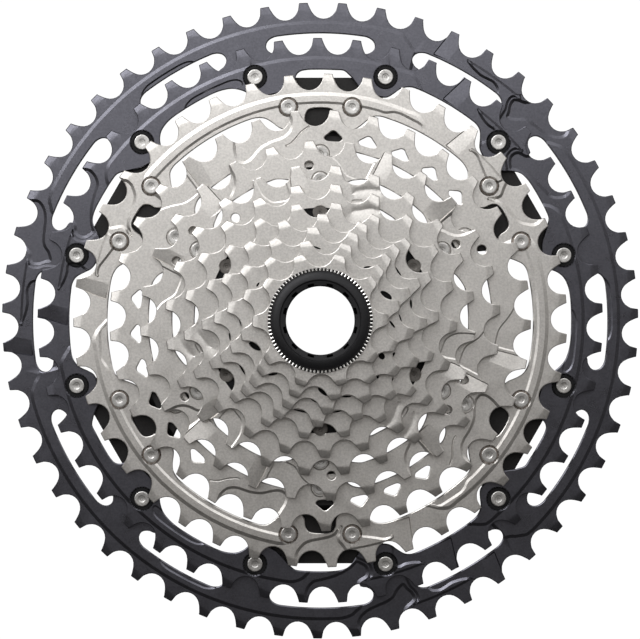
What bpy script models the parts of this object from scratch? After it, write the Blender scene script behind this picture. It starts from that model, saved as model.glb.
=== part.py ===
"""A twelve-speed bicycle cassette, lying on its largest sprocket with the lockring up.

The axis of the wheel is +Z. The origin is on it, level with the largest sprocket's back face.
Lengths are in millimetres until a mesh is made. Clock angles are in degrees, clockwise from +Y
as seen from the lockring's side.

Four outer sprockets (51, 45, 39, 33 teeth) are riveted to a six-armed beam spider. Three more
(28, 24, 21) are riveted to an inner spider. Five loose sprockets (18, 16, 14, 12, 10), with spacers
or a built-in boss between them, slide on the freehub body, and the lockring clamps the whole stack.
"""

import math

import bmesh
import bpy
from mathutils import Vector
from mathutils.geometry import delaunay_2d_cdt

MM = 0.001

# --- Driving dimensions -------------------------------------------------------------------------

CHAIN_PITCH = 12.7
TEETH = (51, 45, 39, 33, 28, 24, 21, 18, 16, 14, 12, 10)
STEP = 3.65  # from one sprocket to the next, along the axis
PLATE = 1.8  # thickness of a sprocket
GAP = 0.3  # left between pieces that touch or are cut by each other

# How far the tooth tips stand above the pitch circle, and the clock angle of the first tip.
TIP_RISE = {51: 1.55, 45: 1.55, 39: 1.55, 33: 1.5, 28: 1.4, 24: 1.25}
TIP_RISE.update({21: 1.15, 18: 1.1, 16: 1.1, 14: 1.0, 12: 0.7, 10: 0.6})
FIRST_TIP = {51: 4.13, 45: 7.59, 39: 2.0, 33: 4.05, 28: 9.6, 24: 6.0}
FIRST_TIP.update({21: 6.85, 18: 8.2, 16: 1.6, 14: 21.3, 12: 19.4, 10: 17.4})

ROOT_DROP = 3.83  # from the pitch circle down to the root of a tooth
TIP_LEADING = 1.6  # half widths of a tooth: at the tip, on its two sides
TIP_TRAILING = 1.4
ROOT_HALF = 3.2  # and at the root

# The bore fits a freehub body with 23 fine splines.
SPLINES = 23
SPLINE_CREST = 14.15
SPLINE_VALLEY = 15.15
CREST_HALF_ANGLE = 2.2
VALLEY_HALF_ANGLE = 4.2

# Rivets: (radius from the axis, clock angles) for each riveted group.
SIXTHS = [60 * sixth for sixth in range(6)]
RIVETS = {
    "45t": (82.5, [15 + 30 * twelfth for twelfth in range(12)]),
    "39t": (70.3, [arm + side for arm in SIXTHS for side in (-8.5, 8.5)]),
    "33t": (54.0, SIXTHS),
    "28t": (45.25, SIXTHS),
    "21t": (34.5, SIXTHS),
}
RIVET_FEET = {"45t": 0.3, "39t": 3.4, "33t": 5.5, "28t": 13.3, "21t": 13.3}
RIVET_HEAD = 2.5
RIVET_HEAD_THICK = 0.55
RIVET_SHANK = 1.8
RIVET_HOLE = 2.25
RIVET_SIDES = 8

# Inner edges with a lobe round each rivet: edge radius, radius of the lobe, and half the angle
# that the lobe takes up where it leaves the edge.
LOBED_EDGE = {
    51: (94.5, 4.6, 4.2),
    45: (82.2, 6.6, 5.5),
    39: (69.3, 4.6, 4.5),
    24: (38.4, 4.3, 6.6),
}
# The 24-tooth sprocket's inner edge has three shallow bays: (clock from the middle, radius).
BAYED = 24
BAY_CLOCKS = (32.0, 152.0, 272.5)
BAY = ((-7.0, 38.4), (-5.5, 40.3), (5.5, 40.3), (7.0, 38.4))

# Inner edges that widen inwards in uneven pads round the rivets: edge radius, a pad's side as
# (clock from its end, radius), and the clocks at which the pads start and end.
PADDED_EDGE = {
    33: (
        55.6,
        ((0.0, 55.6), (3.0, 54.2), (5.0, 51.6), (6.5, 49.6)),
        ((45.5, 75.5), (85.5, 134.5), (166.5, 192.0), (226.5, 255.5), (283.0, 314.5), (328.5, 371.5)),
    ),
    28: (
        47.7,
        ((0.0, 47.7), (3.5, 46.8), (6.5, 45.5), (9.5, 41.4)),
        ((44.0, 77.0), (94.0, 137.5), (163.5, 198.0), (224.0, 258.0), (274.0, 317.5), (342.5, 378.0)),
    ),
}
PAD_STRIDE = 7.0
PLAIN_EDGE = 32.0  # of the 21-tooth sprocket

# Small openings. The windows lie under some teeth of the 33-tooth sprocket, counted clockwise
# from the first: (sideways from the tooth's spoke, radius). Round holes: radius from the axis,
# the hole's radius, and clock angles.
WINDOWED = 33
WINDOW_TEETH = (0, 1, 2, 3, 4, 13, 14, 15, 16, 20, 21, 22, 23, 24, 25)
WINDOW = ((-2.75, 59.2), (-0.45, 61.5), (0.45, 61.5), (2.75, 59.2), (2.0, 58.25), (-2.0, 58.25))
ROUND_HOLES = {
    33: (57.1, 1.5, (66.3,)),
    28: (50.1, 1.35, (60.6, 112.4, 125.1, 175.9, 240.6, 292.4, 305.1, 355.9)),
    24: (42.7, 1.35, (320.5,)),
}
SMALL_HOLE_SIDES = 8
RIVET_GROUP = {51: "45t", 45: "45t", 39: "39t", 33: "33t", 28: "28t", 24: "21t", 21: "21t"}
RIVET_BOSS = 3.4  # standing on the back of the 21-tooth sprocket, round each rivet
BOSS_DRAFT = 0.3

# The spiders' sections, from the axis out: (radius, underside height, top height).
HUB_SEAT = 6.0
BEAM_SECTION = [
    (19.5, HUB_SEAT, 13.65),
    (21.0, 6.4, 10.65),
    (45.0, 6.4, 10.65),
    (60.0, 4.6, 10.65),
    (62.5, 4.3, 7.0),
    (73.2, 2.6, 7.0),
    (75.2, 2.1, 3.35),
    (90.0, 2.1, 3.35),
]
INNER_SECTION = [
    (19.5, 13.95, 23.4),
    (21.0, 13.05, 17.95),
    (38.6, 13.05, 17.95),
    (40.4, 13.05, 14.3),
    (52.0, 13.05, 14.3),
]
SPIDER_HUB = 21.0
HUB_BETWEEN_ARMS = (23, 30, 37)  # clock angles of the hub's edge, past a twelve o'clock arm
ARM_EYE = 4.3  # round an arm's outermost rivets
# Right sides of the arms that point at twelve o'clock, from the hub out: (sideways, outwards).
BEAM_ARM_SIDE = [(6.4, 20.0), (5.0, 30.0), (5.0, 50.0), (5.8, 55.0), (9.6, 61.5), (13.4, 66.4)]
INNER_ARM_SIDE = [(6.4, 20.0), (4.6, 27.0), (4.6, 38.6)]

# Loose sprockets and spacers.
BOSS_RADIUS = {14: 19.0, 12: 18.2, 10: 16.4}
SPACER_BORE = 15.5
SPACER_OUTER = 18.6

# Lockring, seen from its outer face: a head that clamps, and a threaded sleeve.
LOCKRING_HEAD = 15.6
LOCKRING_THICK = 1.5
LOCKRING_BEVEL = 0.9
LOCKRING_BEVEL_DROP = 0.6
SLEEVE_RADIUS = 12.5
SLEEVE_LENGTH = 9.8
TOOL_BORE = 10.7
TOOL_NOTCH = 11.6
TOOL_NOTCHES = 12
FIRST_NOTCH = 15
NOTCH_HALF_ANGLE = 5.0
NOTCH_DRAFT_ANGLE = 1.0
WASHER_BORE = 12.9
WASHER_OUTER = 16.1
WASHER_ROOT = 15.75
WASHER_THICK = 0.75
WASHER_SERRATIONS = 84

ROUND_SIDES = 36
LONGEST_STRIDE = 13.0  # between points along an inner edge


# --- Plan geometry ------------------------------------------------------------------------------


def at(radius, clock):
    """The plan point at a radius and a clock angle."""
    angle = math.radians(clock)
    return (radius * math.sin(angle), radius * math.cos(angle))


def beside(radius, clock, sideways):
    """The plan point at a radius, moved sideways from the spoke at a clock angle."""
    return at(math.hypot(radius, sideways), clock + math.degrees(math.atan2(sideways, radius)))


def circle(radius, sides=ROUND_SIDES, centre=(0.0, 0.0)):
    points = []
    for side in range(sides):
        x, y = at(radius, 360 * side / sides)
        points.append((centre[0] + x, centre[1] + y))
    return points


def turned_about_axis(points, clock):
    """Plan points turned clockwise about the axis."""
    sine = math.sin(math.radians(clock))
    cosine = math.cos(math.radians(clock))
    return [(x * cosine + y * sine, y * cosine - x * sine) for x, y in points]


def pitch_radius(teeth):
    return CHAIN_PITCH / 2 / math.sin(math.pi / teeth)


def tooth_outline(teeth):
    """The toothed edge of a sprocket, four points to a tooth."""
    pitch = pitch_radius(teeth)
    root = pitch - ROOT_DROP
    tip = pitch + TIP_RISE[teeth]
    # A tooth is narrower at the root of a small sprocket, where the spokes are closer together.
    root_half = ROOT_HALF * root / pitch
    points = []
    for tooth in range(teeth):
        spoke = FIRST_TIP[teeth] + 360 * tooth / teeth
        points.append(beside(root, spoke, -root_half))
        points.append(beside(tip, spoke, -TIP_LEADING))
        points.append(beside(tip, spoke, TIP_TRAILING))
        points.append(beside(root, spoke, root_half))
    return points


def spline_bore():
    """The freehub bore: valleys that take the body's splines, and crests between them."""
    pitch = 360 / SPLINES
    points = []
    for spline in range(SPLINES):
        valley = pitch * spline
        crest = valley + pitch / 2
        points.append(at(SPLINE_VALLEY, valley - VALLEY_HALF_ANGLE))
        points.append(at(SPLINE_VALLEY, valley + VALLEY_HALF_ANGLE))
        points.append(at(SPLINE_CREST, crest - CREST_HALF_ANGLE))
        points.append(at(SPLINE_CREST, crest + CREST_HALF_ANGLE))
    return points


def lobed_edge(teeth):
    """An inner edge with a lobe reaching in round each rivet."""
    edge, lobe, half_angle = LOBED_EDGE[teeth]
    rivet_radius, clocks = RIVETS[RIVET_GROUP[teeth]]
    clocks = sorted(clock % 360 for clock in clocks)
    points = []
    for place, clock in enumerate(clocks):
        following = clocks[(place + 1) % len(clocks)]
        points.append(at(edge, clock - half_angle))
        centre = at(rivet_radius, clock)
        for turn in (70, 25, -25, -70):
            x, y = at(lobe, clock + 180 + turn)
            points.append((centre[0] + x, centre[1] + y))
        points.append(at(edge, clock + half_angle))
        span = (following - clock) % 360
        bays = [middle for middle in BAY_CLOCKS if 0 < middle - clock < span]
        if teeth == BAYED and bays:
            points.extend(at(radius, bays[0] + turn) for turn, radius in BAY)
        else:
            points.extend(arc_between(edge, clock + half_angle, span - 2 * half_angle))
    return points


def arc_between(radius, start, span, longest=LONGEST_STRIDE):
    """Points along an arc, without its ends."""
    strides = max(1, round(math.radians(span) * radius / longest))
    return [at(radius, start + span * stride / strides) for stride in range(1, strides)]


def padded_edge(teeth):
    """An inner edge with a wide pad reaching in round each rivet."""
    edge, side, pads = PADDED_EDGE[teeth]
    slope, floor = side[-1]
    points = []
    for place, (start, end) in enumerate(pads):
        points.extend(at(radius, start + turn) for turn, radius in side)
        points.extend(arc_between(floor, start + slope, end - start - 2 * slope, PAD_STRIDE))
        points.extend(at(radius, end - turn) for turn, radius in reversed(side))
        following = pads[(place + 1) % len(pads)][0]
        points.extend(arc_between(edge, end, (following - end) % 360))
    return points


def inner_edge(teeth):
    if teeth in LOBED_EDGE:
        return lobed_edge(teeth)
    if teeth in PADDED_EDGE:
        return padded_edge(teeth)
    return circle(PLAIN_EDGE)


def small_holes(teeth):
    """A sprocket's windows and round holes."""
    holes = []
    if teeth == WINDOWED:
        for tooth in WINDOW_TEETH:
            spoke = FIRST_TIP[teeth] + 360 * tooth / teeth
            holes.append([beside(radius, spoke, sideways) for sideways, radius in WINDOW])
    if teeth in ROUND_HOLES:
        radius, hole, clocks = ROUND_HOLES[teeth]
        holes.extend(circle(hole, SMALL_HOLE_SIDES, at(radius, clock)) for clock in clocks)
    return holes


def rivet_centres(group):
    radius, clocks = RIVETS[group]
    return [at(radius, clock) for clock in clocks]


def rivet_holes(group):
    return [circle(RIVET_HOLE, RIVET_SIDES, centre) for centre in rivet_centres(group)]


# --- Solids -------------------------------------------------------------------------------------


def counterclockwise(loop):
    area = 0.0
    for (x1, y1), (x2, y2) in zip(loop, loop[1:] + loop[:1]):
        area += x1 * y2 - x2 * y1
    return loop if area > 0 else loop[::-1]


def slab(outline, holes, creases, bottom, top):
    """A closed plate over a plan.

    bottom and top give its heights at a plan point. The creases are lines in the plan, along which
    either face may bend.
    """
    points = []
    edges = []
    faces = []
    for loop in [outline, *holes]:
        loop = counterclockwise(loop)
        faces.append(list(range(len(points), len(points) + len(loop))))
        points.extend(Vector(point) for point in loop)
    for line in creases:
        start = len(points)
        points.extend(Vector(point) for point in line)
        edges.extend((start + place, start + place + 1) for place in range(len(line) - 1))
    plan, _, triangles, _, _, owners = delaunay_2d_cdt(points, edges, faces, 1, 1e-4)
    triangles = [tri for tri, owner in zip(triangles, owners) if list(owner) == [0]]

    mesh = bmesh.new()
    lower = {}
    upper = {}
    for index in sorted({index for triangle in triangles for index in triangle}):
        x, y = plan[index]
        lower[index] = mesh.verts.new((x * MM, y * MM, bottom(x, y) * MM))
        upper[index] = mesh.verts.new((x * MM, y * MM, top(x, y) * MM))
    rim = {}
    for triangle in triangles:
        mesh.faces.new([upper[index] for index in triangle])
        mesh.faces.new([lower[index] for index in reversed(triangle)])
        for first, second in zip(triangle, triangle[1:] + triangle[:1]):
            if (second, first) in rim:
                del rim[(second, first)]
            else:
                rim[(first, second)] = True
    for first, second in rim:
        mesh.faces.new([upper[second], upper[first], lower[first], lower[second]])
    bmesh.ops.recalc_face_normals(mesh, faces=mesh.faces)
    return mesh


def flat(height):
    """A height that is the same all over the plan."""
    return lambda x, y: height


def by_radius(section):
    """Heights that follow a list of (radius, height), with straight slopes between."""

    def height(x, y):
        radius = math.hypot(x, y)
        if radius <= section[0][0]:
            return section[0][1]
        for (near, low), (far, high) in zip(section, section[1:]):
            if radius <= far:
                return low + (high - low) * (radius - near) / (far - near)
        return section[-1][1]

    return height


def closed_line(loop):
    return loop + loop[:1]


def turned_solid(profile, sides):
    """A solid of revolution about Z from a profile of (radius, height), lowest first."""
    mesh = bmesh.new()
    rings = []
    for radius, height in profile:
        ring = []
        for x, y in reversed(circle(radius, sides)):
            ring.append(mesh.verts.new((x * MM, y * MM, height * MM)))
        rings.append(ring)
    for low, high in zip(rings, rings[1:]):
        for side in range(sides):
            after = (side + 1) % sides
            mesh.faces.new([low[side], low[after], high[after], high[side]])
    mesh.faces.new(rings[0][::-1])
    mesh.faces.new(rings[-1])
    bmesh.ops.recalc_face_normals(mesh, faces=mesh.faces)
    return mesh


# --- Materials and objects ----------------------------------------------------------------------


def metal(name, colour, roughness, metallic):
    material = bpy.data.materials.new(name)
    material.use_nodes = True
    shader = material.node_tree.nodes["Principled BSDF"]
    shader.inputs["Base Color"].default_value = (*colour, 1.0)
    shader.inputs["Roughness"].default_value = roughness
    shader.inputs["Metallic"].default_value = metallic
    return material


def finished_mesh(name, solid, material, smooth_below=30):
    data = bpy.data.meshes.new(name)
    solid.to_mesh(data)
    solid.free()
    data.materials.append(material)
    data.shade_smooth()
    data.set_sharp_from_angle(angle=math.radians(smooth_below))
    return data


def place(name, data, x=0.0, y=0.0, z=0.0):
    """Puts a named object, with its origin on its own axis, into the scene."""
    piece = bpy.data.objects.new(name, data)
    piece.location = (x * MM, y * MM, z * MM)
    bpy.context.scene.collection.objects.link(piece)
    return piece


# --- Sub-parts ----------------------------------------------------------------------------------


def level(teeth):
    """The height of a sprocket's back face."""
    return TEETH.index(teeth) * STEP


def riveted_sprocket(teeth, material):
    """A toothed ring with a hole for each of its rivets."""
    holes = [inner_edge(teeth), *rivet_holes(RIVET_GROUP[teeth]), *small_holes(teeth)]
    creases = []
    bottom = flat(0.0)
    if teeth == 21:
        # Bosses on its back keep it clear of the 24-tooth ring, which shares its rivets.
        centres = rivet_centres("21t")
        reach = STEP - PLATE - GAP
        for centre in centres:
            for radius in (RIVET_BOSS, RIVET_BOSS + BOSS_DRAFT):
                creases.append(closed_line(circle(radius, RIVET_SIDES, centre)))

        def bottom(x, y):
            away = min(math.hypot(x - cx, y - cy) for cx, cy in centres)
            return -reach if away < RIVET_BOSS + BOSS_DRAFT / 2 else 0.0

    solid = slab(tooth_outline(teeth), holes, creases, bottom, flat(PLATE))
    name = f"sprocket_{teeth}t"
    return place(name, finished_mesh(name, solid, material), z=level(teeth))


def loose_sprocket(teeth, material):
    """A sprocket that slides on the freehub, the smallest three with a boss on the back."""
    creases = []
    bottom = flat(0.0)
    if teeth in BOSS_RADIUS:
        boss = BOSS_RADIUS[teeth]
        # On the smallest sprocket the boss runs out to the roots of the teeth.
        foot = min(boss + BOSS_DRAFT, pitch_radius(teeth) - ROOT_DROP - BOSS_DRAFT / 3)
        reach = STEP - PLATE - GAP
        bottom = by_radius([(boss, -reach), (foot, 0.0)])
        creases = [closed_line(circle(boss)), closed_line(circle(foot))]
    solid = slab(tooth_outline(teeth), [spline_bore()], creases, bottom, flat(PLATE))
    name = f"sprocket_{teeth}t"
    return place(name, finished_mesh(name, solid, material), z=level(teeth))


def spacer(teeth, material):
    """A plain ring under a loose sprocket."""
    thick = STEP - PLATE - 2 * GAP
    solid = slab(circle(SPACER_OUTER), [circle(SPACER_BORE)], [], flat(0.0), flat(thick))
    name = f"spacer_{teeth}t"
    return place(name, finished_mesh(name, solid, material), z=level(teeth) - GAP - thick)


def beam_arm():
    """One arm, pointing at twelve o'clock, from its left foot round to its right foot.

    It widens to a head with a straight end, between an eye for each of its two outer rivets.
    """
    end_centre = at(RIVETS["45t"][0], 15)
    end = []
    for turn in (135, 90, 45, 0, -45, -90):
        x, y = at(ARM_EYE, turn)
        end.append((end_centre[0] + x, end_centre[1] + y))
    right = BEAM_ARM_SIDE + end
    left = [(-x, y) for x, y in right]
    return left + right[::-1]


def inner_arm():
    """One straight arm of the inner spider, pointing at twelve o'clock."""
    end_centre = at(RIVETS["28t"][0], 0)
    right = list(INNER_ARM_SIDE)
    for turn in (90, 60, 30):
        x, y = at(ARM_EYE, turn)
        right.append((end_centre[0] + x, end_centre[1] + y))
    left = [(-x, y) for x, y in right]
    return left + [(0.0, end_centre[1] + ARM_EYE)] + right[::-1]


def spider(name, arm, section, groups, material):
    """Six arms on a splined hub. The section gives the heights from the hub to the arms' ends."""
    hub_between = [at(SPIDER_HUB, clock) for clock in HUB_BETWEEN_ARMS]
    outline = []
    for sixth in SIXTHS:
        outline.extend(turned_about_axis(arm + hub_between, sixth))
    holes = [spline_bore()]
    for group in groups:
        holes.extend(rivet_holes(group))
    creases = [closed_line(circle(section[0][0]))]
    for radius, _, _ in section[1:-1]:
        for sixth in SIXTHS:
            # Near the sprockets that lie over the arms, the creases follow their arcs closely.
            stride = 5 if radius > 70 else 10
            creases.append([at(radius, sixth + turn) for turn in range(-20, 21, stride)])
    bottom = by_radius([(radius, low) for radius, low, _ in section])
    top = by_radius([(radius, high) for radius, _, high in section])
    solid = slab(outline, holes, creases, bottom, top)
    return place(name, finished_mesh(name, solid, material))


def rivets(group, topmost, material):
    """The rivets of one group, which share one mesh: a shank, and a head over the topmost sprocket."""
    radius, clocks = RIVETS[group]
    foot = RIVET_FEET[group]
    head = level(topmost) + PLATE + GAP - foot
    profile = [
        (RIVET_SHANK, 0.0),
        (RIVET_SHANK, head),
        (RIVET_HEAD, head),
        (RIVET_HEAD, head + RIVET_HEAD_THICK),
    ]
    data = finished_mesh(f"rivet_{group}", turned_solid(profile, RIVET_SIDES), material, 50)
    for number, clock in enumerate(clocks, start=1):
        x, y = at(radius, clock)
        place(f"rivet_{group}_{number:02d}", data, x, y, foot)


def lockring(material):
    """A head with a bevelled rim, a sleeve for the thread, and a bore notched for its tool."""
    notched_bore = []
    for notch in range(TOOL_NOTCHES):
        clock = FIRST_NOTCH + 360 * notch / TOOL_NOTCHES
        notched_bore.append(at(TOOL_BORE, clock - NOTCH_HALF_ANGLE - NOTCH_DRAFT_ANGLE))
        notched_bore.append(at(TOOL_NOTCH, clock - NOTCH_HALF_ANGLE))
        notched_bore.append(at(TOOL_NOTCH, clock + NOTCH_HALF_ANGLE))
        notched_bore.append(at(TOOL_BORE, clock + NOTCH_HALF_ANGLE + NOTCH_DRAFT_ANGLE))
    under_head = SLEEVE_RADIUS + BOSS_DRAFT
    bevel_start = LOCKRING_HEAD - LOCKRING_BEVEL
    creases = [closed_line(circle(radius)) for radius in (SLEEVE_RADIUS, under_head, bevel_start)]
    bottom = by_radius([(SLEEVE_RADIUS, -SLEEVE_LENGTH), (under_head, 0.0)])
    rim = LOCKRING_THICK - LOCKRING_BEVEL_DROP
    top = by_radius([(bevel_start, LOCKRING_THICK), (LOCKRING_HEAD, rim)])
    solid = slab(circle(LOCKRING_HEAD), [notched_bore], creases, bottom, top)
    height = level(10) + PLATE + GAP + WASHER_THICK + GAP
    return place("lockring", finished_mesh("lockring", solid, material), z=height)


def lockring_washer(material):
    """The serrated washer under the lockring's head."""
    outline = []
    for tooth in range(WASHER_SERRATIONS):
        clock = 360 * tooth / WASHER_SERRATIONS
        outline.append(at(WASHER_OUTER, clock))
        outline.append(at(WASHER_ROOT, clock + 180 / WASHER_SERRATIONS))
    solid = slab(outline, [circle(WASHER_BORE)], [], flat(0.0), flat(WASHER_THICK))
    data = finished_mesh("lockring_washer", solid, material)
    return place("lockring_washer", data, z=level(10) + PLATE + GAP)


def clear_scene():
    for thing in list(bpy.data.objects):
        bpy.data.objects.remove(thing, do_unlink=True)


def build():
    clear_scene()
    anodised = metal("dark_anodised_aluminium", (0.13, 0.13, 0.145), 0.42, 1.0)
    black = metal("black_anodised_aluminium", (0.015, 0.015, 0.017), 0.45, 0.6)
    steel = metal("satin_nickel_steel", (0.56, 0.55, 0.53), 0.34, 1.0)
    rivet_steel = metal("rivet_steel", (0.62, 0.61, 0.60), 0.3, 1.0)

    for teeth in (51, 45):
        riveted_sprocket(teeth, anodised)
    for teeth in (39, 33, 28, 24, 21):
        riveted_sprocket(teeth, steel)
    for teeth in (18, 16, 14, 12, 10):
        loose_sprocket(teeth, steel)
    spider("beam_spider", beam_arm(), BEAM_SECTION, ("45t", "39t", "33t"), black)
    spider("inner_spider", inner_arm(), INNER_SECTION, ("28t", "21t"), black)
    for teeth in (18, 16):
        spacer(teeth, black)

    for topmost in (45, 39, 33, 28, 21):
        rivets(f"{topmost}t", topmost, rivet_steel)

    lockring_washer(rivet_steel)
    lockring(black)


build()
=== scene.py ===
import math

import bmesh
import bpy
import numpy as np
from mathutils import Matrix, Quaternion, Vector
from mathutils.geometry import delaunay_2d_cdt


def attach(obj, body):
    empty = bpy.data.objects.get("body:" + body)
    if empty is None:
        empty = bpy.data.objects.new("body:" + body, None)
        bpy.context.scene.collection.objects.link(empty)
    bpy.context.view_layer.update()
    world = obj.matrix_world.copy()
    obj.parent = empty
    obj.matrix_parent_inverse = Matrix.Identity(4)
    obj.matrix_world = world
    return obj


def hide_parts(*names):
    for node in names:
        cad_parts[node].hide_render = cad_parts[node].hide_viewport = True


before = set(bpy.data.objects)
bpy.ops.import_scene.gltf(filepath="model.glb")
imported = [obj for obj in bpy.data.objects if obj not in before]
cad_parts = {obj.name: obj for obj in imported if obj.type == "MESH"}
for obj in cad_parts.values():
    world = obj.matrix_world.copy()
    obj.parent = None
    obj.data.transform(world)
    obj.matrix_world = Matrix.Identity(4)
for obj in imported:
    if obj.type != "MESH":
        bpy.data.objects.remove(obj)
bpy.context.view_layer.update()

# The looks of a twelve-speed cassette. Lengths are in millimetres until a mesh is made. Clock angles
# are in degrees, clockwise from +Y as seen from the lockring's side.

MM = 0.001
CHAIN_PITCH = 12.7
STACK = "sprocket_stack"

TEETH = (51, 45, 39, 33, 28, 24, 21, 18, 16, 14, 12, 10)
# How far each sprocket's tips stand above its pitch circle.
TIP_RISE = {
    51: 1.55, 45: 1.55, 39: 1.55, 33: 1.5, 28: 1.4, 24: 1.25,
    21: 1.15, 18: 1.1, 16: 1.1, 14: 1.0, 12: 0.7, 10: 0.6,
}
# The clock angle of each sprocket's first tooth.
FIRST_TIP = {
    51: 4.13, 45: 7.59, 39: 2.0, 33: 4.05, 28: 9.6, 24: 6.0,
    21: 6.85, 18: 8.2, 16: 1.6, 14: 21.3, 12: 19.4, 10: 17.4,
}

# A tooth, from the roots up: (sideways, height above the pitch circle). The sides differ.
ROOT_DROP = 3.83
SEAT_RADIUS = 4.4
SEAT_RISE = 0.57
SEAT_HALF_ANGLE = 58.5
LEFT_FLANK = ((-2.13, -1.0), (-1.92, 0.0), (-1.76, 1.0))
RIGHT_FLANK = ((1.36, 0.95), (1.72, 0.0), (2.13, -1.0))
# The tooth's top, with its heights measured from the tip. A flank stops short of it.
CROWN = ((-1.68, -0.14), (-1.5, 0.0), (1.1, 0.0), (1.29, -0.16))
FLANK_SHORT = 0.25

# A plate's broken edge: how far it reaches in, and how far it drops.
EDGE_ROUND = 0.24
EDGE_DROP = 0.12
THINNEST = 0.15
SAME_POINT = 1e-4
# How many plan points are measured at once.
BATCH = 2000


# --- Plan geometry ------------------------------------------------------------------------------


def at(radius, clock):
    angle = np.radians(clock)
    return np.stack([radius * np.sin(angle), radius * np.cos(angle)], axis=-1)


def spots(pairs, turn=0.0):
    """Plan points from (clock, radius) pairs."""
    pairs = np.array(pairs, float)
    return at(pairs[:, 1], pairs[:, 0] + turn)


def in_tooth_frame(points, clock):
    """(sideways, outwards) of plan points from the spoke at a clock angle."""
    angle = np.radians(clock)
    x, y = points[..., 0], points[..., 1]
    sideways = x * np.cos(angle) - y * np.sin(angle)
    outwards = x * np.sin(angle) + y * np.cos(angle)
    return sideways, outwards


def from_tooth_frame(pairs, clock):
    angle = math.radians(clock)
    pairs = np.array(pairs, float)
    x = pairs[:, 0] * math.cos(angle) + pairs[:, 1] * math.sin(angle)
    y = pairs[:, 1] * math.cos(angle) - pairs[:, 0] * math.sin(angle)
    return np.stack([x, y], axis=-1)


def pitch_radius(teeth):
    return CHAIN_PITCH / 2 / math.sin(math.pi / teeth)


def spoke(teeth, tooth):
    """The clock angle of a tooth, counted clockwise from the first."""
    return FIRST_TIP[teeth] + 360 * tooth / teeth


def circle(radius, sides, centre=(0.0, 0.0)):
    return at(np.full(sides, float(radius)), 360 * np.arange(sides) / sides) + np.array(centre)


def smooth_loop(points, spacing=0.9, closed=True):
    """Points along a smooth curve through the given ones."""
    points = np.asarray(points, float)
    count = len(points)

    def corner(place):
        return points[place % count if closed else min(max(place, 0), count - 1)]

    found = []
    for place in range(count if closed else count - 1):
        p0, p1, p2, p3 = (corner(place + step) for step in (-1, 0, 1, 2))
        pieces = max(1, int(math.ceil(np.linalg.norm(p2 - p1) / spacing)))
        # Centripetal spacing keeps the curve from looping where points are close together.
        k0 = max(np.linalg.norm(p1 - p0), 1e-6) ** 0.5
        k1 = max(np.linalg.norm(p2 - p1), 1e-6) ** 0.5
        k2 = max(np.linalg.norm(p3 - p2), 1e-6) ** 0.5
        m1 = (p2 - p1) / k1 - (p2 - p0) / (k0 + k1) + (p1 - p0) / k0
        m2 = (p3 - p2) / k2 - (p3 - p1) / (k1 + k2) + (p2 - p1) / k1
        m1, m2 = m1 * k1, m2 * k1
        for step in range(pieces):
            t = step / pieces
            found.append(
                (2 * t**3 - 3 * t**2 + 1) * p1
                + (t**3 - 2 * t**2 + t) * m1
                + (-2 * t**3 + 3 * t**2) * p2
                + (t**3 - t**2) * m2
            )
    if not closed:
        found.append(points[-1])
    return np.array(found)


def tooth_loop(teeth):
    """The toothed edge of a sprocket, with round roller seats between uneven teeth."""
    pitch = pitch_radius(teeth)
    tip = TIP_RISE[teeth]
    left, right = (
        [pair for pair in flank if pair[1] < tip - FLANK_SHORT] for flank in (LEFT_FLANK, RIGHT_FLANK)
    )
    tooth_side = [*left, *((sideways, tip + rise) for sideways, rise in CROWN), *right]
    crown = [(sideways, pitch + rise) for sideways, rise in tooth_side]
    turns = np.radians(np.linspace(-SEAT_HALF_ANGLE, SEAT_HALF_ANGLE, 9))
    seat = np.stack(
        [SEAT_RADIUS * np.sin(turns), pitch + SEAT_RISE - SEAT_RADIUS * np.cos(turns)], axis=-1
    )
    loop = []
    for tooth in range(teeth):
        clock = spoke(teeth, tooth)
        loop += [from_tooth_frame(crown, clock), from_tooth_frame(seat, clock + 180 / teeth)]
    return np.concatenate(loop)


def counterclockwise(loop):
    x, y = loop[:, 0], loop[:, 1]
    area = np.sum(x * np.roll(y, -1) - y * np.roll(x, -1))
    return loop if area > 0 else loop[::-1]


def inset(loop, widths, outward=False):
    """A loop moved towards its inside by a width, or by a width for each point."""
    loop = counterclockwise(np.asarray(loop, float))
    along = np.roll(loop, -1, axis=0) - np.roll(loop, 1, axis=0)
    along /= np.maximum(np.linalg.norm(along, axis=1, keepdims=True), 1e-9)
    inwards = np.stack([-along[:, 1], along[:, 0]], axis=-1)
    widths = np.asarray(widths, float).reshape(-1, 1) * (-1 if outward else 1)
    return loop + inwards * widths


def distance_to(points, loop):
    """How far each plan point is from a closed line of points."""
    step = np.roll(loop, -1, axis=0) - loop
    length = np.maximum((step**2).sum(axis=1), 1e-12)
    found = np.empty(len(points))
    for first in range(0, len(points), BATCH):
        away = points[first : first + BATCH, None, :] - loop[None]
        share = np.clip((away * step).sum(axis=2) / length, 0, 1)
        away -= share[..., None] * step
        found[first : first + BATCH] = np.sqrt((away**2).sum(axis=2).min(axis=1))
    return found


def inside(points, loop):
    x, y = points[:, 0], points[:, 1]
    found = np.zeros(len(points), bool)
    for (x1, y1), (x2, y2) in zip(loop, np.roll(loop, -1, axis=0)):
        if y1 != y2:
            crosses = (y1 > y) != (y2 > y)
            found ^= crosses & (x < (x2 - x1) * (y - y1) / (y2 - y1) + x1)
    return found


# --- Relief on a plate's face -------------------------------------------------------------------


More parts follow.
